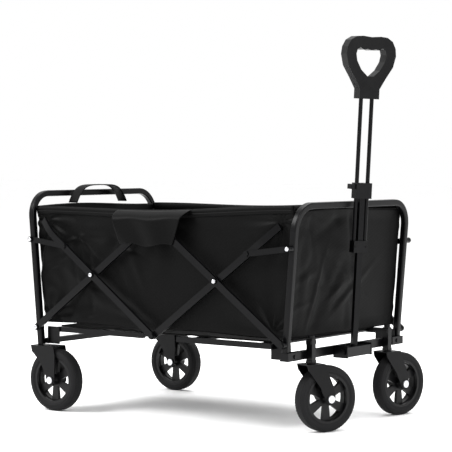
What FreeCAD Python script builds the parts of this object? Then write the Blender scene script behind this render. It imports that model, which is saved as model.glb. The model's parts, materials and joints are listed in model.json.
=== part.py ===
import FreeCAD, Part
import math
import os

import Sketcher

# A folding utility wagon: two U-shaped hoops joined on each side by a scissor linkage of four
# bars, a fabric basket between them, fixed wheels at the rear, casters and a telescopic handle
# in front. Millimetres. +X is forward, +Z up, and the origin lies on the ground midway between
# the four lower pivots. "Right" is the -Y side.

Vector = FreeCAD.Vector
Rotation = FreeCAD.Rotation
doc = FreeCAD.newDocument("FoldingWagon")
sheet = doc.addObject("Spreadsheet::Sheet", "Sizes")

SIZES = [
    # frame
    ("post_spacing", 780.0, "lower pivot to lower pivot, front to back"),
    ("pivot_height", 215.0, "lower pivots above the ground"),
    ("link_height", 443.0, "link pivots above the ground"),
    ("half_bar", 242.3, "scissor bar, crossing pivot to end pivot"),
    ("bar_reach", 222.0, "crossing pivot to the curved outer end"),
    ("link_seat", 116.2, "crossing pivot to the link rivet"),
    ("bar_width", 17.0, "scissor bar"),
    ("bar_thick", 7.0, "scissor bar"),
    ("bar_gap", 0.8, "between two layers of bars"),
    ("bend_start", 156.0, "crossing pivot to where the outer end starts to bend"),
    ("bend_inset", 14.0, "how far the outer end bends towards the basket"),
    ("bend_rise", 5.0, "how far the outer end curves up"),
    ("tube", 16.0, "side of the hoop tube"),
    ("tube_corner", 3.5, "corner radius of the hoop tube"),
    ("hoop_half", 250.0, "middle of the wagon to the middle of a post"),
    ("hoop_bend", 60.0, "middle radius of the hoop's bends"),
    ("rear_lean", 5.0, "degrees"),
    ("front_lean", 4.7, "degrees"),
    ("rear_rail", 561.0, "middle of the rear rail above the ground"),
    ("front_rail", 542.0, "middle of the front rail above the ground"),
    ("rear_foot", 169.0, "foot of the rear posts"),
    ("front_foot", 177.0, "foot of the front posts"),
    ("pin_radius", 4.0, "pivot pins"),
    ("pin_fit", 0.05, "radial running clearance of a pin"),
    ("open_fit", 0.6, "radial clearance where the linkage is left open"),
    ("head_radius", 7.0, "rivet heads"),
    ("head_thick", 2.5, "rivet heads"),
    ("end_play", 0.4, "bar to rivet head"),
    ("link_thick", 5.0, "link"),
    # wheels
    ("wheel_radius", 80.4, "over the tread"),
    ("tyre_width", 36.0, "tyre"),
    ("rim_radius", 60.0, "seat of the tyre"),
    ("rim_wall", 6.0, "rim band"),
    ("hub_radius", 14.0, "wheel hub"),
    ("hub_length", 40.0, "wheel hub"),
    ("axle_radius", 5.0, "wheel bolts"),
    ("spoke_count", 6.0, "openings in a rim"),
    ("web_thick", 9.0, "spoked disc of a rim"),
    ("fork_gap", 43.0, "between the arms of a fork"),
    ("fork_steel", 2.6, "fork plate"),
    ("axle_head", 4.5, "bolt head and nut"),
    ("rear_axle_in", 56.0, "rear axle ahead of the rear pivots"),
    ("rear_track", 251.0, "middle of the wagon to a rear wheel"),
    ("caster_ahead", 18.0, "caster stems ahead of the front pivots"),
    ("caster_half", 173.0, "middle of the wagon to a caster stem"),
    ("caster_trail", 41.0, "stem to axle"),
    ("caster_turn_right", 67.5, "degrees, trail of the right caster from forward"),
    ("caster_turn_left", 76.5, "degrees, trail of the left caster from forward"),
    ("caster_top", 166.0, "top of a caster fork"),
    ("socket_side", 16.4, "caster socket"),
    ("socket_foot", 167.0, "caster socket"),
    ("socket_top", 226.0, "caster socket"),
    # cross tubes and floor
    ("cross_height", 187.0, "middle of the front cross tube"),
    ("cross_depth", 16.0, "front cross tube, front to back"),
    ("cross_tall", 20.0, "front cross tube"),
    ("rear_cross_height", 178.0, "middle of the rear cross tube"),
    ("rear_cross_side", 14.0, "rear cross tube"),
    ("floor_pivot_in", 47.0, "floor pivots inboard of the lower pivots"),
    ("floor_pivot_height", 209.0, "floor pivots"),
    ("floor_bar", 13.0, "side of a floor bar"),
    ("floor_half_rear", 227.0, "middle of the wagon to a rear floor bar"),
    ("floor_half_front", 244.0, "middle of the wagon to a front floor bar"),
    ("floor_meet", 61.0, "floor bar ends from mid-wagon"),
    ("panel_thick", 6.0, "floor panel"),
    ("panel_meet", 62.0, "floor panel ends from mid-wagon"),
    ("panel_half", 232.0, "half width of a floor panel"),
    ("ear_steel", 3.0, "pivot ears"),
    # basket
    ("cloth", 3.0, "thickness of a basket wall"),
    ("basket_foot", 227.0, "lower edge of the basket"),
    ("basket_rim", 536.0, "upper edge of the basket"),
    ("basket_half", 241.7, "middle of the wagon to the outside of a side wall"),
    ("wall_foot_in", 8.3, "end wall's lower edge, inboard of the post's middle"),
    ("strap_width", 32.0, "carry strap"),
    ("strap_thick", 3.0, "carry strap"),
    ("strap_rise", 48.0, "carry strap above the basket rim"),
    ("strap_half", 104.0, "carry strap, middle to the end of a leg"),
    # handle
    ("handle_ahead", 38.0, "handle hinge ahead of the front pivots"),
    ("handle_side", -8.0, "handle hinge from the middle of the wagon"),
    ("handle_height", 184.0, "handle hinge above the ground"),
    ("handle_lean", 3.2, "degrees forward of upright"),
    ("handle_turn", -28.0, "degrees, the grip's face from straight ahead"),
    ("stem_back", 5.0, "handle tube behind its hinge"),
    ("yoke_half", 52.0, "half the width over the yoke"),
    ("yoke_tall", 24.0, "yoke plates"),
    ("yoke_deep", 23.0, "yoke plates"),
    ("swivel_radius", 4.5, "pin that the handle turns on"),
    ("swivel_length", 42.0, "pin that the handle turns on"),
    ("tube_wide", 14.0, "lower handle tube"),
    ("tube_deep", 12.0, "lower handle tube"),
    ("tube_start", 17.0, "handle tube's lower end above the hinge"),
    ("collar_foot", 373.0, "collar's lower face above the hinge"),
    ("collar_tall", 38.0, "collar"),
    ("collar_wide", 43.0, "collar"),
    ("collar_deep", 24.0, "collar"),
    ("rod_half", 15.0, "handle tube to a sliding rod"),
    ("rod_radius", 5.0, "sliding rods"),
    ("rod_fit", 0.5, "radial clearance of the sliding rods"),
    ("slider_foot", 241.0, "slider's lower face above the hinge"),
    ("slider_tall", 29.0, "slider"),
    ("grip_foot", 615.0, "grip's lower end above the hinge"),
    ("grip_wide", 137.0, "grip"),
    ("grip_tall", 151.0, "grip"),
    ("grip_thick", 29.0, "grip"),
    ("neck_wide", 54.0, "neck of the grip"),
    ("rod_sink", 40.0, "how far the rods go into the grip's neck"),
]
for row, (alias, amount, note) in enumerate(SIZES, start=1):
    sheet.set(f"A{row}", alias.replace("_", " "))
    sheet.set(f"B{row}", str(amount))
    sheet.set(f"C{row}", note)
    sheet.setAlias(f"B{row}", alias)
doc.recompute()

RIGHT, LEFT = -1, 1
REAR, FRONT = -1, 1


class Size:
    """A length with the spreadsheet formula that it comes from."""

    def __init__(self, value, text):
        self.value, self.text = value, text

    def _with(self, other, sign, swap=False):
        other = as_size(other)
        first, second = (other, self) if swap else (self, other)
        a, b = first.value, second.value
        value = {"+": a + b, "-": a - b, "*": a * b}.get(sign)
        if value is None:
            value = a / b
        return Size(value, f"({first.text} {sign} {second.text})")

    def __add__(self, other):
        return self._with(other, "+")

    def __radd__(self, other):
        return self._with(other, "+", swap=True)

    def __sub__(self, other):
        return self._with(other, "-")

    def __rsub__(self, other):
        return self._with(other, "-", swap=True)

    def __mul__(self, other):
        return self._with(other, "*")

    def __rmul__(self, other):
        return self._with(other, "*", swap=True)

    def __truediv__(self, other):
        return self._with(other, "/")

    def __neg__(self):
        return Size(-self.value, f"(0 - {self.text})")


def as_size(amount):
    return amount if isinstance(amount, Size) else Size(float(amount), f"{float(amount):.6f}")


def size(alias):
    """A cell of the sheet."""
    return Size(float(sheet.get(alias)), f"Sizes.{alias}")


def cosine(angle):
    return Size(math.cos(math.radians(angle.value)), f"cos({angle.text} * 1 deg)")


def tangent(angle):
    return Size(math.tan(math.radians(angle.value)), f"tan({angle.text} * 1 deg)")


def root(amount):
    return Size(math.sqrt(amount.value), f"sqrt({amount.text})")


def bind(thing, prop, amount):
    """Give a property its value and, if it comes from the sheet, its formula."""
    amount = as_size(amount)
    if "Sizes." in amount.text:
        thing.setExpression(prop, amount.text)
    else:
        setattr(thing, prop, amount.value)


NODES = []


def place(thing, x=0.0, y=0.0, z=0.0, turn=None):
    """Stand an object at a point, turned; places that come from the sheet stay bound to it."""
    spots = [as_size(c) for c in (x, y, z)]
    thing.Placement = FreeCAD.Placement(Vector(*[s.value for s in spots]), turn or Rotation())
    for letter, spot in zip("xyz", spots):
        if "Sizes." in spot.text:
            thing.setExpression(f"Placement.Base.{letter}", spot.text)
    return thing


def node(thing, label, x=0.0, y=0.0, z=0.0, turn=None):
    """Name a finished sub-part and stand it in the wagon's frame."""
    thing.Label = label
    place(thing, x, y, z, turn)
    NODES.append(thing)
    return thing


# ---- primitives ------------------------------------------------------------------------------

TURN_TO = {
    "X": Rotation(Vector(0, 1, 0), 90),
    "Y": Rotation(Vector(1, 0, 0), -90),
    "Z": Rotation(),
}


def block(dx, dy, dz, x=0.0, y=0.0, z=0.0):
    """A box centred on a point."""
    made = doc.addObject("Part::Box", "Block")
    for prop, amount in (("Length", dx), ("Width", dy), ("Height", dz)):
        bind(made, prop, amount)
    dx, dy, dz, x, y, z = (as_size(c) for c in (dx, dy, dz, x, y, z))
    return place(made, x - dx / 2, y - dy / 2, z - dz / 2)


def rod(radius, start, end, axis="Y", x=0.0, y=0.0, z=0.0):
    """A cylinder along an axis, from start to end on it."""
    start, end = as_size(start), as_size(end)
    low, high = (start, end) if start.value < end.value else (end, start)
    made = doc.addObject("Part::Cylinder", "Rod")
    bind(made, "Radius", radius)
    bind(made, "Height", high - low)
    spot = {"X": x, "Y": y, "Z": z}
    spot[axis] = low
    return place(made, spot["X"], spot["Y"], spot["Z"], TURN_TO[axis])


def join(*pieces):
    made = doc.addObject("Part::MultiFuse", "Join")
    made.Shapes = list(pieces)
    made.Refine = True
    return made


def cut(base, *tools):
    for tool in tools:
        made = doc.addObject("Part::Cut", "Cut")
        made.Base, made.Tool = base, tool
        made.Refine = True
        base = made
    return base


def common(first, second):
    made = doc.addObject("Part::Common", "Common")
    made.Base, made.Tool = first, second
    made.Refine = True
    return made


# ---- sketches ---------------------------------------------------------------------------------


def body(name):
    return doc.addObject("PartDesign::Body", name)


def new_sketch(owner, plane, lift=0.0):
    """An empty sketch on one of its body's own planes, moved along the plane's normal."""
    made = owner.newObject("Sketcher::SketchObject", "Outline")
    flat = next(f for f in owner.Origin.OriginFeatures if f.Role == plane)
    made.AttachmentSupport = [(flat, "")]
    made.MapMode = "FlatFace"
    if as_size(lift).value:
        made.AttachmentOffset = FreeCAD.Placement(Vector(0, 0, as_size(lift).value), Rotation())
        if isinstance(lift, Size):
            made.setExpression("AttachmentOffset.Base.z", lift.text)
    return made


def fix(sketch, kind, *spot, amount):
    """Add a dimension, bound to its formula."""
    amount = as_size(amount)
    number = sketch.addConstraint(Sketcher.Constraint(kind, *spot, amount.value))
    if "Sizes." in amount.text:
        sketch.setExpression(f"Constraints[{number}]", amount.text)


def fix_point(sketch, curve, end, x, y):
    fix(sketch, "DistanceX", -1, 1, curve, end, amount=x)
    fix(sketch, "DistanceY", -1, 1, curve, end, amount=y)


def polygon(sketch, corners):
    """A closed outline through corners, each held by its two distances from the origin."""
    spots = [(as_size(x), as_size(y)) for x, y in corners]
    flat = [Vector(x.value, y.value, 0) for x, y in spots]
    first = sketch.GeometryCount
    count = len(spots)
    for k in range(count):
        sketch.addGeometry(Part.LineSegment(flat[k], flat[(k + 1) % count]))
    for k in range(count):
        following = first + (k + 1) % count
        sketch.addConstraint(Sketcher.Constraint("Coincident", first + k, 2, following, 1))
    for k, (x, y) in enumerate(spots):
        fix_point(sketch, first + k, 1, x, y)


def circle(sketch, radius, x=0.0, y=0.0):
    radius, x, y = as_size(radius), as_size(x), as_size(y)
    made = Part.Circle(Vector(x.value, y.value, 0), Vector(0, 0, 1), radius.value)
    number = sketch.addGeometry(made)
    fix_point(sketch, number, 3, x, y)
    fix(sketch, "Radius", number, amount=radius)


def arc(x, y, radius, start, end):
    made = Part.Circle(Vector(x, y, 0), Vector(0, 0, 1), radius)
    return Part.ArcOfCircle(made, math.radians(start), math.radians(end))


def rounded_square(sketch, side, radius, x=0.0):
    """A square with round corners, centred on (x, 0)."""
    half, corner, mid = (side / 2).value, radius.value, as_size(x).value
    flat = half - corner
    lines = [
        ((mid - flat, -half), (mid + flat, -half)),
        ((mid + half, -flat), (mid + half, flat)),
        ((mid + flat, half), (mid - flat, half)),
        ((mid - half, flat), (mid - half, -flat)),
    ]
    for begin, finish in lines:
        sketch.addGeometry(Part.LineSegment(Vector(*begin, 0), Vector(*finish, 0)))
    centres = [(flat, -flat, 270), (flat, flat, 0), (-flat, flat, 90), (-flat, -flat, 180)]
    for cx, cy, start in centres:
        sketch.addGeometry(arc(mid + cx, cy, corner, start, start + 90))
    for k in range(4):
        sketch.addConstraint(Sketcher.Constraint("Tangent", k, 2, 4 + k, 1))
        sketch.addConstraint(Sketcher.Constraint("Tangent", 4 + k, 2, (k + 1) % 4, 1))
        sketch.addConstraint(Sketcher.Constraint("Vertical" if k % 2 else "Horizontal", k))
    fix(sketch, "Radius", 4, amount=radius)
    for k in (5, 6, 7):
        sketch.addConstraint(Sketcher.Constraint("Equal", 4, k))
    fix(sketch, "DistanceY", -1, 1, 0, 1, amount=-side / 2)
    fix(sketch, "DistanceY", -1, 1, 2, 1, amount=side / 2)
    fix(sketch, "DistanceX", -1, 1, 1, 1, amount=x + side / 2)
    fix(sketch, "DistanceX", -1, 1, 3, 1, amount=x - side / 2)


def pad(owner, sketch, length, symmetric=True):
    made = owner.newObject("PartDesign::Pad", "Pad")
    made.Profile = sketch
    bind(made, "Length", length)
    made.Midplane = symmetric
    return made


def pocket(owner, sketch, length=None, symmetric=True):
    """A cut along the sketch's normal; without a length it goes right through both ways."""
    made = owner.newObject("PartDesign::Pocket", "Pocket")
    made.Profile = sketch
    if length is None:
        made.Type = 1
        made.Midplane = True
    else:
        bind(made, "Length", length)
        made.Midplane = symmetric
    return made


# ---- places worked out from the sizes -----------------------------------------------------------

half_base = size("post_spacing") / 2
bar_run = half_base / 2
bar_climb = root(size("half_bar") * size("half_bar") - bar_run * bar_run)
cross_pivot_height = size("pivot_height") + bar_climb
FOLD_ANGLE = math.degrees(math.atan2(bar_climb.value, bar_run.value))
inner_layer = size("hoop_half") + size("tube") / 2 + size("bar_gap") + size("bar_thick") / 2
outer_layer = inner_layer + size("bar_thick") + size("bar_gap")
LAYER = {"inner": inner_layer, "outer": outer_layer}
SIDES = {"right": RIGHT, "left": LEFT}


def lean_of(end):
    return size("rear_lean" if end == REAR else "front_lean")


def post_middle(end, height):
    """How far a post's middle stands from mid-wagon at a height above the ground."""
    return half_base + (height - size("pivot_height")) * tangent(lean_of(end))


def along_post(end, height):
    """A height above the ground as a distance up the post from its lower pivot."""
    return (height - size("pivot_height")) / cosine(lean_of(end))


# ---- hoops ------------------------------------------------------------------------------------


def hoop(end, label, foot, rail, link_layer, lower_layer):
    """A U of square tube that leans outward, with the pivot pins of both sides.

    It is drawn upright about its lower pivots and then leaned.
    """
    owner = body("HoopTube")
    low, high = along_post(end, foot), along_post(end, rail)
    half, bend = size("hoop_half"), size("hoop_bend")
    path = new_sketch(owner, "YZ_Plane")
    left, top, radius = -half.value, high.value, bend.value
    path.addGeometry(Part.LineSegment(Vector(left, low.value, 0), Vector(left, top - radius, 0)))
    path.addGeometry(arc(left + radius, top - radius, radius, 90, 180))
    path.addGeometry(
        Part.LineSegment(Vector(left + radius, top, 0), Vector(-left - radius, top, 0))
    )
    path.addGeometry(arc(-left - radius, top - radius, radius, 0, 90))
    path.addGeometry(Part.LineSegment(Vector(-left, top - radius, 0), Vector(-left, low.value, 0)))
    for joint in ((0, 2, 1, 2), (1, 1, 2, 1), (2, 2, 3, 2), (3, 1, 4, 1)):
        path.addConstraint(Sketcher.Constraint("Tangent", *joint))
    for line, kind in ((0, "Vertical"), (2, "Horizontal"), (4, "Vertical")):
        path.addConstraint(Sketcher.Constraint(kind, line))
    fix_point(path, 0, 1, -half, low)
    fix_point(path, 4, 2, half, low)
    fix(path, "Radius", 1, amount=bend)
    path.addConstraint(Sketcher.Constraint("Equal", 1, 3))
    fix(path, "DistanceY", -1, 1, 2, 1, amount=high)
    section = new_sketch(owner, "XY_Plane", low)
    section.AttachmentOffset = FreeCAD.Placement(Vector(0, left, low.value), Rotation())
    section.setExpression("AttachmentOffset.Base.y", (-half).text)
    rounded_square(section, size("tube"), size("tube_corner"))
    tube = owner.newObject("PartDesign::AdditivePipe", "Tube")
    tube.Profile = section
    tube.Spine = path
    tube.Refine = True

    pieces = [owner]
    for side in (RIGHT, LEFT):
        for layer, height in (
            (lower_layer, 0.0),
            (link_layer, along_post(end, size("link_height"))),
        ):
            pieces += pin(LAYER[layer], side, post_face(), 0.0, height)
    lean = Rotation(Vector(0, 1, 0), lean_of(end).value * end)
    node(join(*pieces), label, end * half_base, 0.0, size("pivot_height"), lean)


def post_face():
    return size("hoop_half") + size("tube") / 2


def pin(layer, side, seat, x, z, thick=None):
    """A pivot pin that stands out from a seat through a bar, with a spacer and a rivet head.

    Distances are counted outward from the middle of the wagon.
    """
    thick = size("bar_thick") if thick is None else thick
    inside = layer - thick / 2
    outside = layer + thick / 2 + size("end_play")
    made = [
        rod(size("pin_radius"), side * (seat - size("end_play")), side * (outside + 0.2), x=x, z=z),
        rod(
            size("head_radius"),
            side * outside,
            side * (outside + size("head_thick")),
            x=x,
            z=z,
        ),
    ]
    if (inside - seat).value > 2.0:
        start, stop = side * (seat - 0.2), side * (inside - size("bar_gap") / 2)
        made.append(rod(size("head_radius"), start, stop, x=x, z=z))
    return made


hoop(REAR, "rear_hoop", size("rear_foot"), size("rear_rail"), "inner", "inner")
hoop(FRONT, "front_hoop", size("front_foot"), size("front_rail"), "outer", "outer")


# ---- scissor bars -------------------------------------------------------------------------------
# Each bar is drawn lying along X with the crossing pivot at its origin. On each side the rear
# pair crosses at X = -bar_run and the front pair at X = +bar_run.
#   bar_b (inner)  rear lower pivot -> top centre      bar_a (outer)  bottom centre -> rear end
#   bar_c (outer)  top centre -> front lower pivot     bar_d (inner)  bottom centre -> front end


def hole(radius, layer, side, x, z=0.0):
    return rod(radius, side * (layer - 20.0), side * (layer + 20.0), x=x, z=z)


def running(fit="pin_fit"):
    return size("pin_radius") + size(fit)


def straight_bar(layer, side, pins, holes, label, middle, turn):
    """A flat bar with round ends, end pivot to end pivot."""
    reach, width, thick = size("half_bar"), size("bar_width"), size("bar_thick")
    pieces = [block(2 * reach, thick, width, y=side * layer)]
    for end in (-1, 1):
        low, high = side * (layer - thick / 2), side * (layer + thick / 2)
        pieces.append(rod(width / 2, low, high, x=end * reach))
    for x, other in pins:
        pieces += pin(other, side, layer + thick / 2, x, 0.0)
    tools = [hole(running(), layer, side, x) for x in holes]
    return node(cut(join(*pieces), *tools), label, middle, 0.0, cross_pivot_height, turn)


def outer_end(end, count=6):
    """The bent end of a bar: (distance from the crossing pivot, share of the whole bend)."""
    start, reach = size("bend_start"), size("bar_reach")
    points = []
    for k in range(count + 1):
        share = k / count
        points.append((end * (start + (reach - start) * share), share * share * (3 - share) / 2))
    return points


def bent_bar(layer, side, end, label, middle, turn, pins, holes, wide_holes, rivets):
    """A bar whose outer end curves up and in towards the basket.

    end is the direction of the outer end along the bar. The solid is what the side outline and
    the plan outline have in common.
    """
    reach, width, thick = size("half_bar"), size("bar_width"), size("bar_thick")
    bend = outer_end(end)
    profile = body("BarSide")
    drawn = new_sketch(profile, "XZ_Plane")
    upper = [(x, width / 2 + size("bend_rise") * share) for x, share in bend]
    lower = [(x, size("bend_rise") * share - width / 2) for x, share in reversed(bend)]
    foot = -end * reach
    polygon(drawn, [(foot, width / 2), *upper, *lower, (foot, -width / 2)])
    pad(profile, drawn, 4 * layer)
    plan = body("BarPlan")
    seen = new_sketch(plan, "XY_Plane")
    out = [(x, side * (layer + thick / 2 - size("bend_inset") * share)) for x, share in bend]
    back = [
        (x, side * (layer - thick / 2 - size("bend_inset") * share))
        for x, share in reversed(bend)
    ]
    polygon(
        seen,
        [(foot, side * (layer + thick / 2)), *out, *back, (foot, side * (layer - thick / 2))],
    )
    pad(plan, seen, 8 * width)
    low, high = side * (layer - thick / 2), side * (layer + thick / 2)
    pieces = [common(profile, plan), rod(width / 2, low, high, x=foot)]
    for x, other in pins:
        pieces += pin(other, side, layer + thick / 2, x, 0.0)
    for x in rivets:
        face = side * (layer + thick / 2)
        pieces.append(rod(size("head_radius"), face, face + side * size("head_thick"), x=x))
    tools = [hole(running(), layer, side, x) for x in holes]
    tools += [hole(running("open_fit"), layer, side, x) for x in wide_holes]
    return node(cut(join(*pieces), *tools), label, middle, 0.0, cross_pivot_height, turn)


up_forward = Rotation(Vector(0, 1, 0), -FOLD_ANGLE)
down_forward = Rotation(Vector(0, 1, 0), FOLD_ANGLE)
for name, side in SIDES.items():
    reach = size("half_bar")
    straight_bar(
        inner_layer,
        side,
        [(0.0, outer_layer), (reach, outer_layer)],
        [-reach],
        f"bar_b_{name}",
        -bar_run,
        up_forward,
    )
    straight_bar(
        outer_layer, side, [], [-reach, 0.0, reach], f"bar_c_{name}", bar_run, down_forward
    )
    bent_bar(
        outer_layer,
        side,
        -1,
        f"bar_a_{name}",
        -bar_run,
        down_forward,
        [],
        [0.0],
        [reach],
        [-size("link_seat")],
    )
    bent_bar(
        inner_layer,
        side,
        1,
        f"bar_d_{name}",
        bar_run,
        up_forward,
        [(0.0, outer_layer), (-reach, outer_layer)],
        [],
        [],
        [],
    )


# ---- links from the posts to the bars -----------------------------------------------------------

seat_run = bar_run - size("link_seat") * (bar_run / size("half_bar"))
seat_height = cross_pivot_height + size("link_seat") * (bar_climb / size("half_bar"))


def link(end, side, label, layer_name, headed):
    """A flat link from the pin on a post to the link rivet of the bent bar."""
    hinge = post_middle(end, size("link_height"))
    run = hinge - (half_base - seat_run)
    drop = size("link_height") - seat_height
    length = root(run * run + drop * drop)
    slope = math.degrees(math.atan2(drop.value, run.value))
    layer, width, thick = LAYER[layer_name], size("bar_width") - 3.0, size("link_thick")
    low, high = side * (layer - thick / 2), side * (layer + thick / 2)
    toward = -end
    pieces = [
        block(length, thick, width, x=toward * length / 2, y=side * layer),
        rod(width / 2, low, high),
        rod(width / 2, low, high, x=toward * length),
    ]
    if headed:
        face = side * size("head_thick")
        pieces.append(rod(size("head_radius"), high, high + face, x=toward * length))
    made = cut(join(*pieces), hole(running(), layer, side, 0.0))
    turn = Rotation(Vector(0, 1, 0), -end * slope)
    node(made, label, end * hinge, 0.0, size("link_height"), turn)


for name, side in SIDES.items():
    link(REAR, side, f"link_rear_{name}", "inner", False)
    link(FRONT, side, f"link_front_{name}", "outer", True)


# ---- cross tubes ----------------------------------------------------------------------------------


def ears(end, half, plate_start, height_low):
    """Two upright plates that carry a floor frame's pivot pins, reaching inboard."""
    pivot = half_base - size("floor_pivot_in")
    steel, top = size("ear_steel"), size("floor_pivot_height") + 7.0
    made = []
    for side in (RIGHT, LEFT):
        width = plate_start - pivot + 7.0
        middle = end * (plate_start - width / 2)
        tall = top - height_low
        made.append(block(width, steel, tall, middle, side * half, height_low + tall / 2))
    return made


def floor_pins(end, ear_half, bar_half, inward):
    """Pins from the ears through the floor bars."""
    pivot = end * (half_base - size("floor_pivot_in"))
    bar, play = size("floor_bar"), size("end_play")
    made = []
    for side in (RIGHT, LEFT):
        far = side * (bar_half + inward * (bar / 2 + play))
        tip = side * (bar_half + inward * (bar / 2 + play + 2.0))
        height = size("floor_pivot_height")
        made.append(rod(size("pin_radius"), side * ear_half, far, x=pivot, z=height))
        made.append(rod(size("head_radius") - 1.5, far, tip, x=pivot, z=height))
    return made


def rear_cross():
    """The tube between the rear fork plates, with the ears of the rear floor frame."""
    side = size("rear_cross_side")
    height = size("rear_cross_height")
    middle = half_base - 14.0
    span = 2 * (size("hoop_half") - size("tube") / 2)
    ear_half = size("floor_half_rear") + size("floor_bar") / 2 + 1.0 + size("ear_steel") / 2
    pieces = [block(side, span, side, -middle, 0.0, height)]
    pieces += ears(REAR, ear_half, middle, height - side / 2)
    pieces += floor_pins(REAR, ear_half, size("floor_half_rear"), -1)
    node(join(*pieces), "rear_cross_tube")


def front_cross():
    """The tube between the front posts, with its end brackets and the front floor ears."""
    deep, tall, height = size("cross_depth"), size("cross_tall"), size("cross_height")
    front = half_base + size("caster_ahead") - size("socket_side") / 2
    middle = front - deep / 2
    span = 2 * (size("hoop_half") - size("tube") / 2)
    ear_half = size("floor_half_front") - size("floor_bar") / 2 - 1.0 - size("ear_steel") / 2
    pieces = [block(deep, span, tall, middle, 0.0, height)]
    pieces += ears(FRONT, ear_half, middle, height - tall / 2)
    pieces += floor_pins(FRONT, ear_half, size("floor_half_front"), 1)
    outer = post_face() + 0.3
    for side in (RIGHT, LEFT):
        start = size("caster_half") + 36.0
        plate = outer + 2.5 - start
        pieces.append(block(2.5, plate, tall, front + 1.25, side * (start + plate / 2), height))
        wing = front - half_base + 12.0
        pieces.append(block(wing, 2.5, tall, front - wing / 2, side * (outer + 1.25), height))
        pieces.append(
            rod(5.0, front + 2.0, front + 5.0, "X", y=side * (size("hoop_half") - 18.0), z=height)
        )
    node(join(*pieces), "front_cross_tube")


rear_cross()
front_cross()


# ---- wheels, forks and casters --------------------------------------------------------------------


def ring_sketch(owner, corners):
    """A closed outline of (distance along the axle, radius) in the XY plane."""
    drawn = new_sketch(owner, "XY_Plane")
    polygon(drawn, [(radius, along) for along, radius in corners])
    return drawn


def revolve(owner, drawn):
    made = owner.newObject("PartDesign::Revolution", "Turned")
    made.Profile = drawn
    made.ReferenceAxis = (drawn, ["V_Axis"])
    made.Angle = 360
    return made


def tyre(label, x, y, turn):
    """A tyre with a rounded tread and flat shoulders, turned about Y."""
    owner = body("Tyre")
    outer, inner, half = size("wheel_radius"), size("rim_radius"), size("tyre_width") / 2
    corners = [
        (-half + 3.0, inner + 0.0),
        (-half, inner + 5.0),
        (-half, outer - 9.0),
        (-half + 2.5, outer - 3.5),
        (-half + 8.0, outer - 0.6),
        (0.0, outer),
        (half - 8.0, outer - 0.6),
        (half - 2.5, outer - 3.5),
        (half, outer - 9.0),
        (half, inner + 5.0),
        (half - 3.0, inner + 0.0),
    ]
    revolve(owner, ring_sketch(owner, corners))
    node(owner, label, x, y, size("wheel_radius"), turn)


def rim(label, x, y, turn):
    """A moulded wheel: a band, a spoked web and a hub with the axle's bore."""
    owner = body("Rim")
    outer, half = size("rim_radius"), size("tyre_width") / 2
    band, web, hub = outer - size("rim_wall"), size("web_thick") / 2, size("hub_radius")
    hub_end, bore = size("hub_length") / 2, size("axle_radius") + size("pin_fit")
    corners = [
        (-hub_end, bore),
        (-hub_end, hub),
        (-web, hub),
        (-web, band),
        (3.0 - half, band),
        (3.0 - half, outer),
        (half - 3.0, outer),
        (half - 3.0, band),
        (web, band),
        (web, hub),
        (hub_end, hub),
        (hub_end, bore),
    ]
    revolve(owner, ring_sketch(owner, corners))
    doc.recompute()
    opening = new_sketch(owner, "XZ_Plane")
    near, far = hub + 6.0, band - 4.0
    polygon(opening, [(near, 2.5), (far, 16.0), (far + 1.5, 6.0), (far + 2.0, 0.0),
                      (far + 1.5, -6.0), (far, -16.0), (near, -2.5)])
    hollow = pocket(owner, opening)
    pattern = owner.newObject("PartDesign::PolarPattern", "Openings")
    pattern.Originals = [hollow]
    axis = next(f for f in owner.Origin.OriginFeatures if f.Role == "Y_Axis")
    pattern.Axis = (axis, [""])
    pattern.Angle = 360
    bind(pattern, "Occurrences", size("spoke_count"))
    owner.Tip = pattern
    node(owner, label, x, y, size("wheel_radius"), turn)


def axle(label, x, y, turn):
    """A wheel bolt with its head and nut outside the fork."""
    half = size("fork_gap") / 2 + size("fork_steel")
    head = half + size("axle_head")
    pieces = [rod(size("axle_radius"), -head, head)]
    for end in (-1, 1):
        pieces.append(rod(2 * size("axle_radius") - 1.0, end * half, end * head))
    node(join(*pieces), label, x, y, size("wheel_radius"), turn)


def fork(label, outline, top, x, y, turn, extra=()):
    """A steel plate folded into a fork: two arms and a top, from its side outline."""
    owner = body("Fork")
    wide = size("fork_gap") + 2 * size("fork_steel")
    drawn = new_sketch(owner, "XZ_Plane")
    polygon(drawn, outline)
    pad(owner, drawn, wide)
    doc.recompute()
    gap = new_sketch(owner, "YZ_Plane")
    half, under = size("fork_gap") / 2, top - size("fork_steel")
    polygon(gap, [(-half, 0.0), (-half, under), (half, under), (half, 0.0)])
    pocket(owner, gap)
    doc.recompute()
    bore = new_sketch(owner, "XZ_Plane")
    circle(bore, size("axle_radius"), extra[0] if extra else 0.0, size("wheel_radius"))
    pocket(owner, bore)
    node(join(owner, *extra[1:]) if len(extra) > 1 else owner, label, x, y, 0.0, turn)


def rear_wheel(name, side):
    """A fixed rear wheel: the fork hangs under the post and runs forward to the axle."""
    x, y = -(half_base - size("rear_axle_in")), side * size("rear_track")
    top = size("rear_foot") - 2 * size("end_play")
    hub, back = size("wheel_radius"), -size("rear_axle_in")
    outline = [
        (back - 12.0, top),
        (back + 66.0, top),
        (15.0, top - 22.0),
        (13.5, hub + 6.0),
        (13.0, hub - 6.0),
        (6.0, hub - 13.0),
        (-6.0, hub - 13.0),
        (-13.0, hub - 6.0),
        (-17.0, hub + 16.0),
        (back / 2 - 8.0, hub + 46.0),
        (back - 8.0, top - 16.0),
    ]
    fork(f"rear_fork_{name}", outline, top, x, y, Rotation())
    axle(f"rear_axle_{name}", x, y, Rotation())
    tyre(f"rear_tyre_{name}", x, y, Rotation())
    rim(f"rear_rim_{name}", x, y, Rotation())


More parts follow.
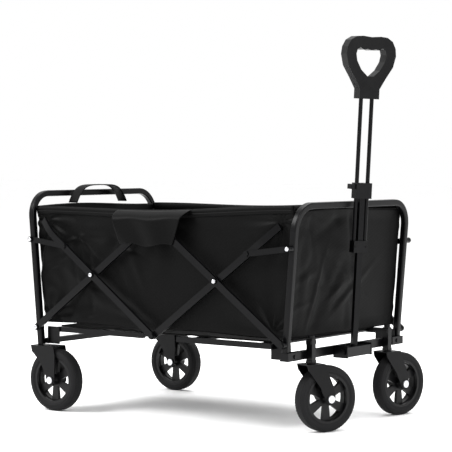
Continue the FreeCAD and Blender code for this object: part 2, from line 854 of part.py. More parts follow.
def caster(name, side):
    """A swivelling front wheel. The fork trails behind a stem that turns in the socket."""
    stem_x, stem_y = half_base + size("caster_ahead"), side * size("caster_half")
    angle = size(f"caster_turn_{name}")
    turn = Rotation(Vector(0, 0, 1), angle.value)
    trail, top, hub = size("caster_trail"), size("caster_top"), size("wheel_radius")
    outline = [
        (-25.0, top),
        (25.0, top),
        (trail - 6.0, top - 24.0),
        (trail + 8.0, hub + 30.0),
        (trail + 14.0, hub + 6.0),
        (trail + 13.0, hub - 6.0),
        (trail + 6.0, hub - 13.0),
        (trail - 6.0, hub - 13.0),
        (trail - 14.0, hub - 2.0),
        (trail / 2 - 9.0, hub + 30.0),
        (-8.0, top - 32.0),
        (-22.0, top - 14.0),
    ]
    crown = size("socket_top")
    stem = [
        rod(size("axle_radius"), top - 1.0, crown + 7.0, "Z"),
        rod(11.0, top - 0.2, size("socket_foot") - size("end_play"), "Z"),
        rod(8.0, crown + size("end_play"), crown + 7.0, "Z"),
    ]
    fork(f"caster_fork_{name}", outline, top, stem_x, stem_y, turn, [trail, *stem])
    run = FreeCAD.Vector(math.cos(math.radians(angle.value)), math.sin(math.radians(angle.value)))
    x = stem_x + trail * Size(run.x, f"cos({angle.text} * 1 deg)")
    y = stem_y + trail * Size(run.y, f"sin({angle.text} * 1 deg)")
    axle(f"caster_axle_{name}", x, y, turn)
    tyre(f"caster_tyre_{name}", x, y, turn)
    rim(f"caster_rim_{name}", x, y, turn)
    socket(name, stem_x, stem_y)


def socket(name, x, y):
    """The square tube that a caster's stem turns in, with tabs above and below the cross tube."""
    side, foot, top = size("socket_side"), size("socket_foot"), size("socket_top")
    wide = side + 7.0
    pieces = [
        block(side, side, top - foot, z=(top + foot) / 2),
        block(side - 2.0, wide, 9.0, z=top - 9.0),
        block(side - 2.0, wide, 6.0, z=foot + 4.0),
    ]
    bore = rod(size("axle_radius") + size("pin_fit"), foot - 5.0, top + 5.0, "Z")
    node(cut(join(*pieces), bore), f"caster_socket_{name}", x, y)


for name, side in SIDES.items():
    rear_wheel(name, side)
    caster(name, side)


# ---- floor frames and panels ------------------------------------------------------------------------


def floor(end, label, bar_half, tie_at_middle):
    """Half of the folding floor frame, drawn about its pivot and running to mid-wagon."""
    bar, pivot = size("floor_bar"), half_base - size("floor_pivot_in")
    inward = -end
    length = pivot - size("floor_meet") + bar / 2
    bars = []
    for side in (RIGHT, LEFT):
        middle = inward * (length - bar) / 2
        bars.append(block(length, bar, bar, middle, side * bar_half))
    tie = inward * (length - 1.5 * bar)
    span = 2 * bar_half
    bars.append(rod(bar / 2 - 0.5, -span / 2, span / 2, x=tie_at_middle * tie))
    bars.append(rod(bar / 2 - 0.5, -span / 2, span / 2, x=inward * bar * 3))
    tools = [
        rod(running(), -bar_half - bar, -bar_half + bar),
        rod(running(), bar_half - bar, bar_half + bar),
    ]
    node(cut(join(*bars), *tools), label, end * pivot, 0.0, size("floor_pivot_height"))


def floor_panel(end, label):
    """The stiff half of the basket's floor that lies on a floor frame."""
    pivot = half_base - size("floor_pivot_in")
    outer = pivot - 10.0
    length = outer - size("panel_meet")
    low = size("floor_pivot_height") + size("floor_bar") / 2 + 0.3
    thick = size("panel_thick")
    owner = body("Panel")
    drawn = new_sketch(owner, "XZ_Plane")
    near, far = -length / 2, length / 2
    polygon(drawn, [(near, 0.0), (near, thick), (far, thick), (far, 0.0)])
    pad(owner, drawn, 2 * size("panel_half"))
    node(owner, label, end * (size("panel_meet") + length / 2), 0.0, low)


floor(REAR, "floor_frame_rear", size("floor_half_rear"), 1.0)
floor(FRONT, "floor_frame_front", size("floor_half_front"), 0.9)
floor_panel(REAR, "basket_floor_rear")
floor_panel(FRONT, "basket_floor_front")


# ---- basket -----------------------------------------------------------------------------------------


def basket_side(name, side):
    """A cloth side wall, a little longer at its rim than at its foot."""
    foot, rim_height = size("basket_foot"), size("basket_rim")
    inset = size("wall_foot_in")
    owner = body("BasketSide")
    drawn = new_sketch(owner, "XZ_Plane")
    polygon(
        drawn,
        [
            (inset - post_middle(REAR, foot), foot),
            (inset - post_middle(REAR, rim_height), rim_height),
            (post_middle(FRONT, rim_height) - inset, rim_height),
            (post_middle(FRONT, foot) - inset, foot),
        ],
    )
    pad(owner, drawn, size("cloth"))
    node(owner, f"basket_side_{name}", 0.0, side * (size("basket_half") - size("cloth") / 2))


def basket_end(end, label):
    """A cloth end wall that leans with its hoop, between the side walls."""
    foot, rim_height = size("basket_foot"), size("basket_rim")
    inset, cloth = size("wall_foot_in"), size("cloth")
    low, high = post_middle(end, foot) - inset, post_middle(end, rim_height) - inset
    owner = body("BasketEnd")
    drawn = new_sketch(owner, "XZ_Plane")
    polygon(
        drawn,
        [
            (end * low, foot),
            (end * high, rim_height),
            (end * (high - cloth), rim_height),
            (end * (low - cloth), foot),
        ],
    )
    pad(owner, drawn, 2 * (size("basket_half") - cloth - 0.3))
    node(owner, label)


def carry_strap():
    """A webbing loop that stands on the rear wall's rim."""
    half, rise, wide = size("strap_half"), size("strap_rise"), size("strap_width")
    thick = size("strap_thick")
    owner = body("Strap")
    drawn = new_sketch(owner, "YZ_Plane")
    outer = [(-half, 0.0), (-half * 0.62, rise * 0.82), (-half * 0.4, rise),
             (half * 0.4, rise), (half * 0.62, rise * 0.82), (half, 0.0)]
    inner = [(half - thick * 2, 0.0), (half * 0.56, rise * 0.78 - thick * 0.4),
             (half * 0.38, rise - thick), (-half * 0.38, rise - thick),
             (-half * 0.56, rise * 0.78 - thick * 0.4), (thick * 2 - half, 0.0)]
    polygon(drawn, outer + inner)
    pad(owner, drawn, wide)
    rim_height = size("basket_rim")
    middle = post_middle(REAR, rim_height) - size("wall_foot_in") - size("cloth") - wide / 2
    node(owner, "carry_strap", -middle, -17.0, rim_height + 0.2)


for name, side in SIDES.items():
    basket_side(name, side)
basket_end(REAR, "basket_rear_wall")
basket_end(FRONT, "basket_front_wall")
carry_strap()


# ---- handle -------------------------------------------------------------------------------------------
# The pieces above the yoke are drawn upright about a point on the handle's own axis at the
# height of the hinge, with the grip's face towards +X, and are then turned and leaned.

hinge_x = half_base + size("handle_ahead")
hinge_y, hinge_z = size("handle_side"), size("handle_height")
axis_x = hinge_x - size("stem_back")
leaned = Rotation(Vector(0, 1, 0), size("handle_lean").value)
handle_turned = leaned.multiply(Rotation(Vector(0, 0, 1), size("handle_turn").value))


def on_handle(thing, label):
    node(thing, label, axis_x, hinge_y, hinge_z, handle_turned)


def handle_bracket():
    """Two ears on the front cross tube, with the hinge bolt through them."""
    steel, half = size("ear_steel"), size("yoke_half") + 1.0
    back = half_base + size("caster_ahead") - size("socket_side") / 2
    width = hinge_x + 13.0 - back
    pieces = []
    for side in (RIGHT, LEFT):
        y = hinge_y + side * (half + steel / 2)
        pieces.append(block(width, steel, 30.0, back + width / 2, y, hinge_z + 1.0))
        face, bolt = half + steel, half + steel + size("axle_head")
        start, stop = hinge_y + side * face, hinge_y + side * bolt
        pieces.append(rod(7.0, start, stop, x=hinge_x, z=hinge_z))
    pieces.append(block(steel, 2 * half, 18.0, back + steel / 2, hinge_y, hinge_z + 1.0))
    pin_half = half + steel
    pieces.append(
        rod(size("pin_radius"), hinge_y - pin_half, hinge_y + pin_half, x=hinge_x, z=hinge_z)
    )
    node(join(*pieces), "handle_bracket")


def handle_yoke():
    """A folded plate that swings on the hinge bolt and carries the handle's swivel pin."""
    steel, half = size("ear_steel"), size("yoke_half")
    deep, tall = size("yoke_deep"), size("yoke_tall")
    front = deep - 11.0
    pieces = [block(steel, 2 * half, tall, front - steel / 2)]
    for side in (RIGHT, LEFT):
        pieces.append(block(deep, steel, tall, front - deep / 2, side * (half - steel / 2)))
    shelf = tall / 2 - steel / 2
    pieces.append(block(deep, 2 * half, steel, front - deep / 2, 0.0, shelf))
    cheek = cut(join(*pieces), rod(running(), -half - 5.0, half + 5.0))
    swivel = rod(size("swivel_radius"), 10.0, size("swivel_length") + 10.0, "Z")
    plate = rod(8.0, tall / 2 - 0.5, size("tube_start") - size("end_play"), "Z")
    turned = join(swivel, plate)
    place(turned, -size("stem_back"), 0.0, 0.0, leaned)
    node(join(cheek, turned), "handle_yoke", hinge_x, hinge_y, hinge_z)


def handle_tube():
    """The lower tube: solid enough at its foot to hold the swivel pin's bore."""
    start, top = size("tube_start"), size("collar_foot")
    tall = top - start
    tube = block(size("tube_deep"), size("tube_wide"), tall, z=start + tall / 2)
    bore_end = size("swivel_length") + 12.0
    bore = rod(size("swivel_radius") + size("pin_fit"), start - 5.0, bore_end, "Z")
    on_handle(cut(tube, bore), "handle_tube")


def rod_bores(fit):
    bores = []
    for side in (RIGHT, LEFT):
        top = size("grip_foot")
        bores.append(
            rod(size("rod_radius") + fit, 0.0, top, "Z", y=side * size("rod_half"))
        )
    return bores


def handle_collar():
    """The block on top of the lower tube that guides both rods, with a hook for the rail."""
    foot, tall = size("collar_foot"), size("collar_tall")
    wide, deep = size("collar_wide"), size("collar_deep")
    pieces = [
        block(deep, wide, tall, z=foot + tall / 2),
        block(deep - 6.0, 15.0, 12.0, -1.0, -wide / 2 - 6.0, foot + tall - 9.0),
    ]
    on_handle(cut(join(*pieces), *rod_bores(size("rod_fit"))), "handle_collar")


def handle_rods():
    """The two sliding rods, from the slider up into the grip."""
    foot, top = size("slider_foot"), size("grip_foot") + size("rod_sink")
    tie = block(size("rod_radius"), 2 * size("rod_half"), 4.0, z=top - 4.0)
    rods = [
        rod(size("rod_radius"), foot + 4.0, top, "Z", y=side * size("rod_half"))
        for side in (RIGHT, LEFT)
    ]
    on_handle(join(*rods, tie), "handle_rods")


def handle_slider():
    """The block on the rods' lower ends, which runs along the lower tube."""
    foot, tall = size("slider_foot"), size("slider_tall")
    slider = block(size("collar_deep") - 2.0, size("collar_wide") - 3.0, tall, z=foot + tall / 2)
    slack = 2 * size("rod_fit")
    way = block(size("tube_deep") + slack, size("tube_wide") + slack, 2 * tall, z=foot + tall / 2)
    seats = []
    for side in (RIGHT, LEFT):
        start = foot + 4.0
        seats.append(
            rod(size("rod_radius"), start, foot + 2 * tall, "Z", y=side * size("rod_half"))
        )
    rivets = []
    for side in (RIGHT, LEFT):
        face = size("collar_deep") / 2 - 1.0
        rivets.append(
            rod(3.0, face, face + 1.5, "X", y=side * size("rod_half"), z=foot + tall / 2)
        )
    on_handle(join(cut(slider, way, *seats), *rivets), "handle_slider")


def grip():
    """A loop grip: a heart-shaped ring with finger scallops, on a neck over the rods."""
    wide, tall, thick = size("grip_wide"), size("grip_tall"), size("grip_thick")
    neck, foot = size("neck_wide") / 2, size("grip_foot")
    half = wide / 2
    owner = body("Grip")
    drawn = new_sketch(owner, "YZ_Plane")
    right = [
        (neck, 0.0),
        (neck, tall * 0.16),
        (half * 0.62, tall * 0.33),
        (half * 0.90, tall * 0.52),
        (half, tall * 0.70),
        (half * 0.97, tall * 0.82),
        (half * 0.84, tall * 0.93),
        (half * 0.62, tall * 0.99),
        (half * 0.35, tall),
    ]
    left = [(-y, z) for y, z in reversed(right)]
    polygon(drawn, [*right, (0.0, tall * 0.985), *left])
    pad(owner, drawn, thick)
    doc.recompute()
    opening = new_sketch(owner, "YZ_Plane")
    half_hole = half * 0.61
    edge = [
        (half_hole * 0.20, tall * 0.36),
        (half_hole * 0.62, tall * 0.46),
        (half_hole * 0.92, tall * 0.60),
        (half_hole, tall * 0.71),
        (half_hole * 0.92, tall * 0.79),
        (half_hole * 0.74, tall * 0.815),
        (half_hole * 0.50, tall * 0.78),
        (half_hole * 0.28, tall * 0.795),
    ]
    mirrored = [(-y, z) for y, z in reversed(edge)]
    polygon(opening, [*edge, (0.0, tall * 0.775), *mirrored])
    pocket(owner, opening)
    place(owner, 0.0, 0.0, foot)
    seats = []
    for side in (RIGHT, LEFT):
        top = foot + size("rod_sink")
        seats.append(
            rod(size("rod_radius"), foot - 5.0, top, "Z", y=side * size("rod_half"))
        )
    tie = block(size("rod_radius"), 2 * size("rod_half"), 4.0, z=foot + size("rod_sink") - 4.0)
    on_handle(cut(owner, *seats, tie), "handle_grip")


handle_bracket()
handle_yoke()
handle_tube()
handle_collar()
handle_rods()
handle_slider()
grip()


# ---- check and write ------------------------------------------------------------------------------------

doc.recompute()
for thing in doc.Objects:
    if "Invalid" in thing.State or "Error" in thing.State:
        raise RuntimeError(f"{thing.Name} ({thing.Label}) failed: {thing.State}")
for thing in NODES:
    if thing.Shape.isNull() or not thing.Shape.isValid():
        raise RuntimeError(f"{thing.Label} has no valid shape")
    if len(thing.Shape.Solids) != 1:
        raise RuntimeError(f"{thing.Label} has {len(thing.Shape.Solids)} solids")
os.makedirs("parts", exist_ok=True)
for thing in NODES:
    thing.Shape.exportStep(os.path.join("parts", thing.Label + ".step"))
print(len(NODES), "sub-parts written, fold angle at rest", round(FOLD_ANGLE, 3))
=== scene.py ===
import json
import math

import bpy
import numpy as np
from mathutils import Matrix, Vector


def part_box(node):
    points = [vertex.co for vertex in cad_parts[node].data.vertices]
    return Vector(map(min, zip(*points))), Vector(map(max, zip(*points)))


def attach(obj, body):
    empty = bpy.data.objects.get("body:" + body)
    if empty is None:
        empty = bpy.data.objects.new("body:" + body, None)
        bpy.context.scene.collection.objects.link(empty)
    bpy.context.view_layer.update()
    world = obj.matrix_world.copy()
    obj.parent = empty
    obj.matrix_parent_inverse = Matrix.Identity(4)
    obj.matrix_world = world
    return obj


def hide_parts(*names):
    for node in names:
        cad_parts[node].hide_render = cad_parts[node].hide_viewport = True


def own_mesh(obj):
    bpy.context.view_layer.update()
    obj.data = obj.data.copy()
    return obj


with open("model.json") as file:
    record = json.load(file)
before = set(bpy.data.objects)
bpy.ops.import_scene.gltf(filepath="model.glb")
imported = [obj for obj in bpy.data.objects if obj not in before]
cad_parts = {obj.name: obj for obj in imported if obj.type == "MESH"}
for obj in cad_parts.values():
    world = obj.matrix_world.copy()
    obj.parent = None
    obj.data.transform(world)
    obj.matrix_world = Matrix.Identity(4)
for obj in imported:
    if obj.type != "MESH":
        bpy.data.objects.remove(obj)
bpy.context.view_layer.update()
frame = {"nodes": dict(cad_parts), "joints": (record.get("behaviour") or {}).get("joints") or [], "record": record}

MM = 0.001
SIDES = {"right": -1.0, "left": 1.0}

# thickness of each cloth, in millimetres
CLOTH_MM = 1.6
HEM_MM = 1.0
FLOOR_PAD_MM = 4.0
STRAP_MM = 2.4

# seams: how far one cloth laps the next, and the floor cloths stop short of the middle
LAP = 0.002
FLOOR_END = 0.003

# the hem's drop below the solid's top at the rear, its rise towards the front, and its sag
RIM_DROP = 0.014
RIM_RISE = 0.016
RIM_SAG = 0.010
HEM_BULGE = 0.0035
HEM_HALF = 0.010

# the flap over the top centre joint
FLAP_MIDDLE = -0.014
FLAP_FOOT_HALF = 0.082
FLAP_SPREAD = 0.034
FLAP_FOOT = 0.213
FLAP_CLEAR = 0.0045
FLAP_WAVE = 0.0025
TUCK_START = 0.72

# creases: how many, how high and within what limits, on a side, an end wall and the floor
SIDE_CREASES, SIDE_CREASE, SIDE_LIMITS = 46, 0.0030, (-0.006, 0.007)
WALL_CREASES, WALL_CREASE, WALL_LIMITS = 26, 0.0028, (-0.005, 0.003)
FLOOR_CREASES, FLOOR_CREASE, FLOOR_LIMITS = 14, 0.0012, (-0.002, 0.003)
SIDE_BELLY = 0.006
WALL_BELLY = 0.004
FOOT_WAVE = 0.004

# length over height, so that a crease has the same shape all over a cloth
SIDE_ASPECT = 2.4
WALL_ASPECT = 1.6
FLOOR_ASPECT = 1.4

# where a side is tied to the frame, as shares of its length and height, and the pull there
TIES = ((0.04, 0.9), (0.96, 0.9), (0.5, 0.95), (0.05, 0.05), (0.95, 0.05))
TIE_PULL = 0.0022
TIE_REACH = 0.45
TIE_RAYS = 9

# tread: ribs a row, their rise, and where each row starts and stops across the tyre, in mm
RIBS = 72
RIB_RISE = 1.2
TREAD_ROWS = ((-12.5, -4.6), (-3.6, 3.6), (4.6, 12.5))

# rivet heads: size, and how far each layer of steel stands out from the cloth
RIVET_RADIUS = 0.0052
RIVET_RISE = 0.0022
RIVET_RINGS = 10
RIVET_SIDES = 28
INNER_LAYER = 0.0283
OUTER_LAYER = 0.0359


# ---- materials -----------------------------------------------------------------------------


def linear(code):
    """An sRGB hex colour as linear RGBA."""
    parts = [int(code[k : k + 2], 16) / 255 for k in (1, 3, 5)]
    return (*[c / 12.92 if c <= 0.04045 else ((c + 0.055) / 1.055) ** 2.4 for c in parts], 1.0)


def add(tree, kind, **values):
    """A shader node with its inputs set by name or its properties by attribute."""
    made = tree.nodes.new(kind)
    for name, value in values.items():
        socket = made.inputs.get(name.replace("_", " "))
        if socket is None:
            setattr(made, name, value)
        elif isinstance(value, bpy.types.NodeSocket):
            tree.links.new(value, socket)
        else:
            socket.default_value = value
    return made


def material(name, dark, light, patch_mm, grain_mm, depth_mm, roughness, metallic=0.0, weave_mm=0.0,
             gloss=0.5):
    """Two close colours mixed in patches, with a fine bump and, for cloth, a woven bump."""
    made = bpy.data.materials.new(name)
    made.use_nodes = True
    tree = made.node_tree
    shader = tree.nodes["Principled BSDF"]
    place = add(tree, "ShaderNodeTexCoord").outputs["Object"]
    patch = add(tree, "ShaderNodeTexNoise", Vector=place, Scale=1000 / patch_mm, Detail=4.0)
    mix = add(tree, "ShaderNodeMix", data_type="RGBA")
    tree.links.new(patch.outputs["Fac"], mix.inputs[0])
    mix.inputs[6].default_value = linear(dark)
    mix.inputs[7].default_value = linear(light)
    tree.links.new(mix.outputs[2], shader.inputs["Base Color"])
    grain = add(tree, "ShaderNodeTexNoise", Vector=place, Scale=1000 / grain_mm, Detail=3.0)
    bump = add(tree, "ShaderNodeBump", Strength=0.5, Distance=depth_mm * MM,
               Height=grain.outputs["Fac"])
    normal = bump.outputs["Normal"]
    if weave_mm:
        turn = add(tree, "ShaderNodeMapping", Vector=place, Rotation=(0.6, 0.5, 0.7))
        for axis in ("X", "Z"):
            wave = add(tree, "ShaderNodeTexWave", Vector=turn.outputs["Vector"],
                       Scale=1000 / weave_mm / 20, bands_direction=axis)
            woven = add(tree, "ShaderNodeBump", Strength=0.35, Distance=0.2 * MM,
                        Height=wave.outputs["Fac"], Normal=normal)
            normal = woven.outputs["Normal"]
    tree.links.new(normal, shader.inputs["Normal"])
    shade = add(tree, "ShaderNodeMapRange", Value=patch.outputs["Fac"])
    shade.inputs["To Min"].default_value = roughness - 0.06
    shade.inputs["To Max"].default_value = roughness + 0.06
    tree.links.new(shade.outputs["Result"], shader.inputs["Roughness"])
    shader.inputs["Metallic"].default_value = metallic
    shader.inputs["Specular IOR Level"].default_value = gloss
    return made


# black powder coat on steel tube and bar: satin, with narrow highlights along each tube
COAT = material("powder_coat", "#030304", "#060607", 60, 0.9, 0.05, 0.3, gloss=0.13)
# zinc-plated steel of the rivets: bright, faintly mottled
ZINC = material("zinc_plate", "#b9babd", "#d2d3d6", 6, 0.5, 0.02, 0.28, metallic=1.0)
# black polyester cloth: a soft, low shine on a plain weave
CLOTH = material("polyester_cloth", "#030303", "#060606", 45, 1.5, 0.12, 0.5, weave_mm=1.1,
                 gloss=0.06)
# black polypropylene webbing: a coarse weave, a little duller than the cloth's shine
WEB = material("webbing", "#030303", "#070707", 12, 1.2, 0.2, 0.6, weave_mm=2.0, gloss=0.08)
# moulded polypropylene of the grip and collars: smooth, with a soft shine
PLASTIC = material("moulded_plastic", "#030304", "#070708", 30, 0.8, 0.06, 0.35, gloss=0.15)
# moulded plastic of the wheel rims: a touch lighter than the coat
RIM = material("rim_plastic", "#060607", "#0b0b0c", 30, 0.8, 0.06, 0.4, gloss=0.2)
# foamed EVA of the tyres: matt, and the lightest of the blacks
RUBBER = material("tyre_rubber", "#0b0b0c", "#121213", 20, 1.0, 0.1, 0.7, gloss=0.16)
SLOT_LOOK = {"cloth": CLOTH, "cloth_floor": CLOTH, "webbing": WEB, "tyre": RUBBER, "rim": RIM,
             "zinc": ZINC, "plastic": PLASTIC, "frame": COAT}

for part in frame["record"]["subparts"]:
    shown = frame["nodes"][part["node"]]
    shown.data.materials.clear()
    shown.data.materials.append(SLOT_LOOK[part["material_slot"]])


# ---- mesh helpers ------------------------------------------------------------------------------


def mesh_piece(name, points, faces, look, smooth=True):
    """A piece from an array of points and a list of faces."""
    mesh = bpy.data.meshes.new(name)
    mesh.from_pydata([tuple(p) for p in points], [], [tuple(int(i) for i in f) for f in faces])
    mesh.validate()
    made = bpy.data.objects.new(name, mesh)
    bpy.context.collection.objects.link(made)
    mesh.materials.append(look)
    if smooth:
        mesh.polygons.foreach_set("use_smooth", [True] * len(mesh.polygons))
    return made


def grid_faces(rows, columns, wrap=False):
    """Quads of a rows by columns grid of points."""
    last = columns if wrap else columns - 1
    return [
        (r * columns + c, r * columns + (c + 1) % columns,
         (r + 1) * columns + (c + 1) % columns, (r + 1) * columns + c)
        for r in range(rows - 1) for c in range(last)
    ]


def surface_area(points, faces):
    p = np.asarray(points)[np.asarray(faces)]
    return float(np.linalg.norm(np.cross(p[:, 2] - p[:, 0], p[:, 3] - p[:, 1]), axis=1).sum() / 2)


def cloth_sheet(name, shape, across, up, look, thick=CLOTH_MM):
    """A sheet of cloth: shape(u, v) gives x, y, z arrays for u and v from 0 to 1."""
    u, v = np.meshgrid(np.linspace(0, 1, across), np.linspace(0, 1, up))
    points = np.stack(shape(u, v), axis=-1).reshape(-1, 3)
    faces = grid_faces(up, across)
    made = mesh_piece(name, points, faces, look)
    wall = made.modifiers.new("thickness", "SOLIDIFY")
    wall.thickness = thick * MM
    wall.offset = 0.0
    return made, surface_area(points, faces)


def folds(a, b, rng, count, size):
    """Soft creases: each a ridge or a furrow along a slanted line, fading towards its ends."""
    total = np.zeros_like(a)
    for _ in range(count):
        centre = rng.uniform(0, 1, 2)
        slant = rng.uniform(0, math.pi)
        across = (a - centre[0]) * math.cos(slant) + (b - centre[1]) * math.sin(slant)
        along = -(a - centre[0]) * math.sin(slant) + (b - centre[1]) * math.cos(slant)
        width = rng.uniform(0.02, 0.06)
        reach = rng.uniform(0.12, 0.35)
        sign = rng.choice((-1.0, 1.0))
        total += sign * np.exp(-((across / width) ** 2) - (along / reach) ** 2)
    return size * total


# ---- basket ------------------------------------------------------------------------------------

rear_low, rear_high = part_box("basket_rear_wall")
front_low, front_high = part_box("basket_front_wall")
side_low, side_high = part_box("basket_side_right")
FOOT, RIM_Z = side_low.z, side_high.z
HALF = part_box("basket_side_left")[1].y


def rim_height(x):
    """The hem sags between the hoops and is lowest at the rear corners."""
    t = (x - side_low.x) / (side_high.x - side_low.x)
    return RIM_Z - RIM_DROP + RIM_RISE * t - RIM_SAG * np.sin(math.pi * t) ** 2


def side_shape(sign, seed):
    rng = np.random.default_rng(seed)

    def shape(u, v):
        left = rear_high.x - LAP + (side_low.x - rear_high.x + 2 * LAP) * v
        right = front_low.x + LAP + (side_high.x - front_low.x - 2 * LAP) * v
        x = left + (right - left) * u
        foot = FOOT + FOOT_WAVE * np.sin(7 * u) ** 2
        z = foot + (rim_height(x) - foot) * v
        belly = SIDE_BELLY * np.sin(math.pi * u) * np.sin(math.pi * v)
        pull = folds(u * SIDE_ASPECT, v, rng, SIDE_CREASES, SIDE_CREASE)
        for tie_u, tie_v in TIES:
            away = np.hypot((u - tie_u) * SIDE_ASPECT, v - tie_v)
            ray = np.arctan2(v - tie_v, (u - tie_u) * SIDE_ASPECT)
            near = np.exp(-((away / TIE_REACH) ** 2))
            pull += TIE_PULL * np.cos(TIE_RAYS * ray + 4 * away) * near
        edge = np.clip(np.minimum(v, 1 - v) * 14, 0, 1)
        y = sign * (HALF - LAP + belly + np.clip(pull, *SIDE_LIMITS) * edge)
        return x, y, z

    return shape


def wall_shape(end, seed):
    """End wall: leans with its hoop and bellies outward."""
    low, high = (rear_low, rear_high) if end < 0 else (front_low, front_high)
    rng = np.random.default_rng(seed)

    def shape(u, v):
        y = (2 * u - 1) * (HALF - 2 * LAP)
        foot_x = high.x - LAP if end < 0 else low.x + LAP
        top_x = low.x + LAP if end < 0 else high.x - LAP
        z = low.z + (high.z - 0.006 - low.z) * v + 0.004 * np.sin(5 * u) * v
        pull = folds(u * WALL_ASPECT, v, rng, WALL_CREASES, WALL_CREASE)
        belly = WALL_BELLY * np.sin(math.pi * u) * np.sin(math.pi * v)
        edge = np.clip(np.minimum(np.minimum(v, 1 - v), np.minimum(u, 1 - u)) * 12, 0, 1)
        x = foot_x + (top_x - foot_x) * v + end * (belly * 0.3 - 0.003) * edge
        return x + end * np.clip(pull, *WALL_LIMITS) * edge, y, z

    return shape


def floor_shape(end, seed):
    low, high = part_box("basket_floor_rear" if end < 0 else "basket_floor_front")
    rng = np.random.default_rng(seed)

    def shape(u, v):
        x = end * (FLOOR_END + (max(abs(low.x), abs(high.x)) - FLOOR_END) * u)
        y = (2 * v - 1) * high.y
        creases = folds(u, v * FLOOR_ASPECT, rng, FLOOR_CREASES, FLOOR_CREASE)
        z = low.z + 0.003 + np.clip(creases, *FLOOR_LIMITS)
        return x, y, z

    return shape


def squash_to_rear(piece):
    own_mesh(piece)


for name, sign in SIDES.items():
    cloth, area = cloth_sheet(f"side_cloth_{name}", side_shape(sign, 11), 190, 80, CLOTH)
    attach(cloth, "rear_frame")
    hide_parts(f"basket_side_{name}")
    squash_to_rear(cloth)

    def hem_shape(u, v, sign=sign):
        x = side_low.x + 0.004 + (side_high.x - side_low.x - 0.008) * u
        ring = 2 * math.pi * v
        y = sign * (HALF - 0.001 + HEM_BULGE * np.cos(ring))
        return x, y, rim_height(x) - 0.004 + HEM_HALF * np.sin(ring)

    hem, area = cloth_sheet(f"side_hem_{name}", hem_shape, 120, 17, CLOTH, HEM_MM)
    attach(hem, "rear_frame")
    squash_to_rear(hem)

    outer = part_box("bar_c_" + name)
    outer_face = max(abs(outer[0].y), abs(outer[1].y)) + FLAP_CLEAR

    def flap_shape(u, v, sign=sign, outer_face=outer_face):
        """A flap over the top centre joint, wider at the hem than at its lower edge."""
        spread = FLAP_FOOT_HALF + FLAP_SPREAD * v
        x = FLAP_MIDDLE + (2 * u - 1) * spread
        low = FOOT + FLAP_FOOT + 0.004 * np.sin(9 * u)
        z = low + (rim_height(x) - low + 0.004) * v
        tuck = np.clip((v - TUCK_START) / (1 - TUCK_START), 0, 1)
        y = outer_face + FLAP_WAVE * np.sin(11 * u + 3 * v) * (1 - tuck)
        return x, sign * (y + (HALF + 0.004 - outer_face) * tuck ** 2), z

    flap, area = cloth_sheet(f"side_flap_{name}", flap_shape, 60, 34, CLOTH)
    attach(flap, "rear_frame")
    squash_to_rear(flap)

for end, label, carrier in ((-1, "rear", "rear_frame"), (1, "front", "front_frame")):
    cloth, area = cloth_sheet(f"{label}_wall_cloth", wall_shape(end, 5 + end), 110, 70, CLOTH)
    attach(cloth, carrier)
    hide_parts(f"basket_{label}_wall")
    base, area = cloth_sheet(f"floor_cloth_{label}", floor_shape(end, 21), 70, 90, CLOTH, FLOOR_PAD_MM)
    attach(base, f"floor_{label}")
    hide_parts(f"basket_floor_{label}")


def strap_shape(u, v):
    """A webbing arch: legs rise from the rim, lean in and meet in a flat top."""
    low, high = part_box("carry_strap")
    t = np.clip((2 * u - 1), -1, 1)
    y = (low.y + high.y) / 2 + (high.y - low.y) / 2 * np.sign(t) * np.abs(t) ** 0.8
    z = low.z + (high.z - low.z - 0.002) * (1 - np.abs(t) ** 3.2)
    x = low.x + 0.001 + (high.x - low.x - 0.002) * v + 0.002 * np.sin(4 * t)
    return x, y, z


strap, area = cloth_sheet("carry_strap_web", strap_shape, 80, 9, WEB, STRAP_MM)
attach(strap, "rear_frame")
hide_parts("carry_strap")


# ---- tyre tread, rivets --------------------------------------------------------------------------


def tread(name, tyre, axis, carrier):
    """Rows of small blocks round the tyre, the middle row half a step round from the others."""
    low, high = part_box(tyre)
    centre = np.array((low + high) / 2)
    radius = (high.z - low.z) / 2
    side = np.array(axis) / np.linalg.norm(axis)
    up = np.array((0, 0, 1))
    ahead = np.cross(side, up)
    points, faces = [], []
    for row, (start, stop) in enumerate(TREAD_ROWS):
        for k in range(RIBS):
            turn = 2 * math.pi * (k + 0.5 * (row % 2)) / RIBS
            for along in (start, stop):
                drop = 0.6 * (along / 10) ** 2
                for lean, rise in ((-0.026, -RIB_RISE), (-0.018, 0.0), (0.018, 0.0), (0.026, -RIB_RISE)):
                    r = radius - (drop + 0.05 - rise) * MM
                    spoke = ahead * math.cos(turn + lean) + up * math.sin(turn + lean)
                    points.append(centre + side * along * MM + spoke * r)
            b = len(points) - 8
            faces += [(b + i, b + i + 1, b + 5 + i, b + 4 + i) for i in range(3)]
            faces.append((b, b + 4, b + 7, b + 3))
            faces += [(b, b + 1, b + 2, b + 3), (b + 4, b + 5, b + 6, b + 7)]
    made = mesh_piece(name, points, faces, RUBBER, smooth=False)
    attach(made, carrier)


def rivet_head(name, centre, axis, carrier):
    """A spherical cap on a flat base."""
    axis = np.array(axis, float) / np.linalg.norm(axis)
    side = np.cross(axis, (0, 0, 1))
    side /= np.linalg.norm(side)
    up = np.cross(axis, side)
    points = []
    for ring in range(RIVET_RINGS):
        t = ring / (RIVET_RINGS - 1) * math.pi / 2
        reach = RIVET_RADIUS * math.cos(t)
        for k in range(RIVET_SIDES):
            turn = 2 * math.pi * k / RIVET_SIDES
            out = side * math.cos(turn) + up * math.sin(turn)
            points.append(np.array(centre) + axis * RIVET_RISE * math.sin(t) + out * reach)
    faces = grid_faces(RIVET_RINGS, RIVET_SIDES, wrap=True)
    made = mesh_piece(name, points, [*faces, tuple(range(RIVET_SIDES))], ZINC)
    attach(made, carrier)


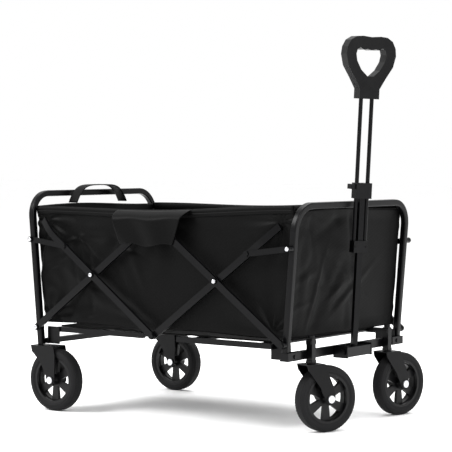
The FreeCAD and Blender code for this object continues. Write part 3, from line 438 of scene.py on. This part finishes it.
joint_of = {j["name"]: j for j in frame["joints"]}
for joint, tyre_node, carrier in (
    ("rear_wheel_right_spin", "rear_tyre_right", "rear_wheel_right"),
    ("rear_wheel_left_spin", "rear_tyre_left", "rear_wheel_left"),
    ("caster_wheel_right_spin", "caster_tyre_right", "caster_wheel_right"),
    ("caster_wheel_left_spin", "caster_tyre_left", "caster_wheel_left"),
):
    tread(f"tread_{tyre_node}", tyre_node, joint_of[joint]["axis"], carrier)

for name, sign in SIDES.items():
    for joint, layer, carrier in (
        ("fold" if name == "right" else "rear_pivot_left", INNER_LAYER, "rear_frame"),
        (f"rear_crossing_{name}", OUTER_LAYER, f"bar_b_{name}"),
        (f"front_crossing_{name}", OUTER_LAYER, f"bar_d_{name}"),
        (f"link_rear_{name}_pivot", INNER_LAYER, "rear_frame"),
        (f"link_front_{name}_pivot", OUTER_LAYER, "front_frame"),
    ):
        x, _, z = joint_of[joint]["pos_m"]
        rivet_head(f"rivet_{joint}", (x, sign * (HALF + layer), z), (0, sign, 0), carrier)


# ---- room, light and camera ----------------------------------------------------------------------

AZIMUTH, ELEVATION = math.radians(36.54), math.radians(2.28)
SPOT = Vector((2.746, -3.668, 0.661))
FOCAL_MM = 141.1

camera_data = bpy.data.cameras.new("camera")
camera_data.lens, camera_data.sensor_width = FOCAL_MM, 36.0
camera = bpy.data.objects.new("camera", camera_data)
bpy.context.collection.objects.link(camera)
look = Vector((-math.sin(AZIMUTH) * math.cos(ELEVATION), math.cos(AZIMUTH) * math.cos(ELEVATION),
               -math.sin(ELEVATION)))
camera.location = SPOT
camera.rotation_euler = look.to_track_quat("-Z", "Y").to_euler()
bpy.context.scene.camera = camera

# a matt white studio floor
pale = bpy.data.materials.new("pale_floor")
pale.use_nodes = True
pale_shader = pale.node_tree.nodes["Principled BSDF"]
pale_shader.inputs["Base Color"].default_value = linear("#ffffff")
pale_shader.inputs["Roughness"].default_value = 0.9
REACH = 30
corners = [(-REACH, -REACH, 0), (REACH, -REACH, 0), (REACH, REACH, 0), (-REACH, REACH, 0)]
floor = mesh_piece("floor", corners, [(0, 1, 2, 3)], pale, smooth=False)


def area_light(name, spot, size, power, target=(0, 0, 0.35)):
    data = bpy.data.lights.new(name, "AREA")
    data.size, data.energy = size, power
    made = bpy.data.objects.new(name, data)
    bpy.context.collection.objects.link(made)
    made.location = spot
    made.rotation_euler = (Vector(target) - Vector(spot)).to_track_quat("-Z", "Y").to_euler()


area_light("key", (-2.2, -2.6, 3.2), 1.8, 170)
area_light("fill", (3.5, -1.0, 2.2), 2.0, 90)
area_light("top", (0.0, 1.2, 3.6), 2.6, 130)
world = bpy.data.worlds.new("studio")
world.use_nodes = True
world.node_tree.nodes["Background"].inputs["Color"].default_value = (1, 1, 1, 1)
world.node_tree.nodes["Background"].inputs["Strength"].default_value = 1.0
bpy.context.scene.world = world
bpy.context.scene.view_settings.view_transform = "Standard"
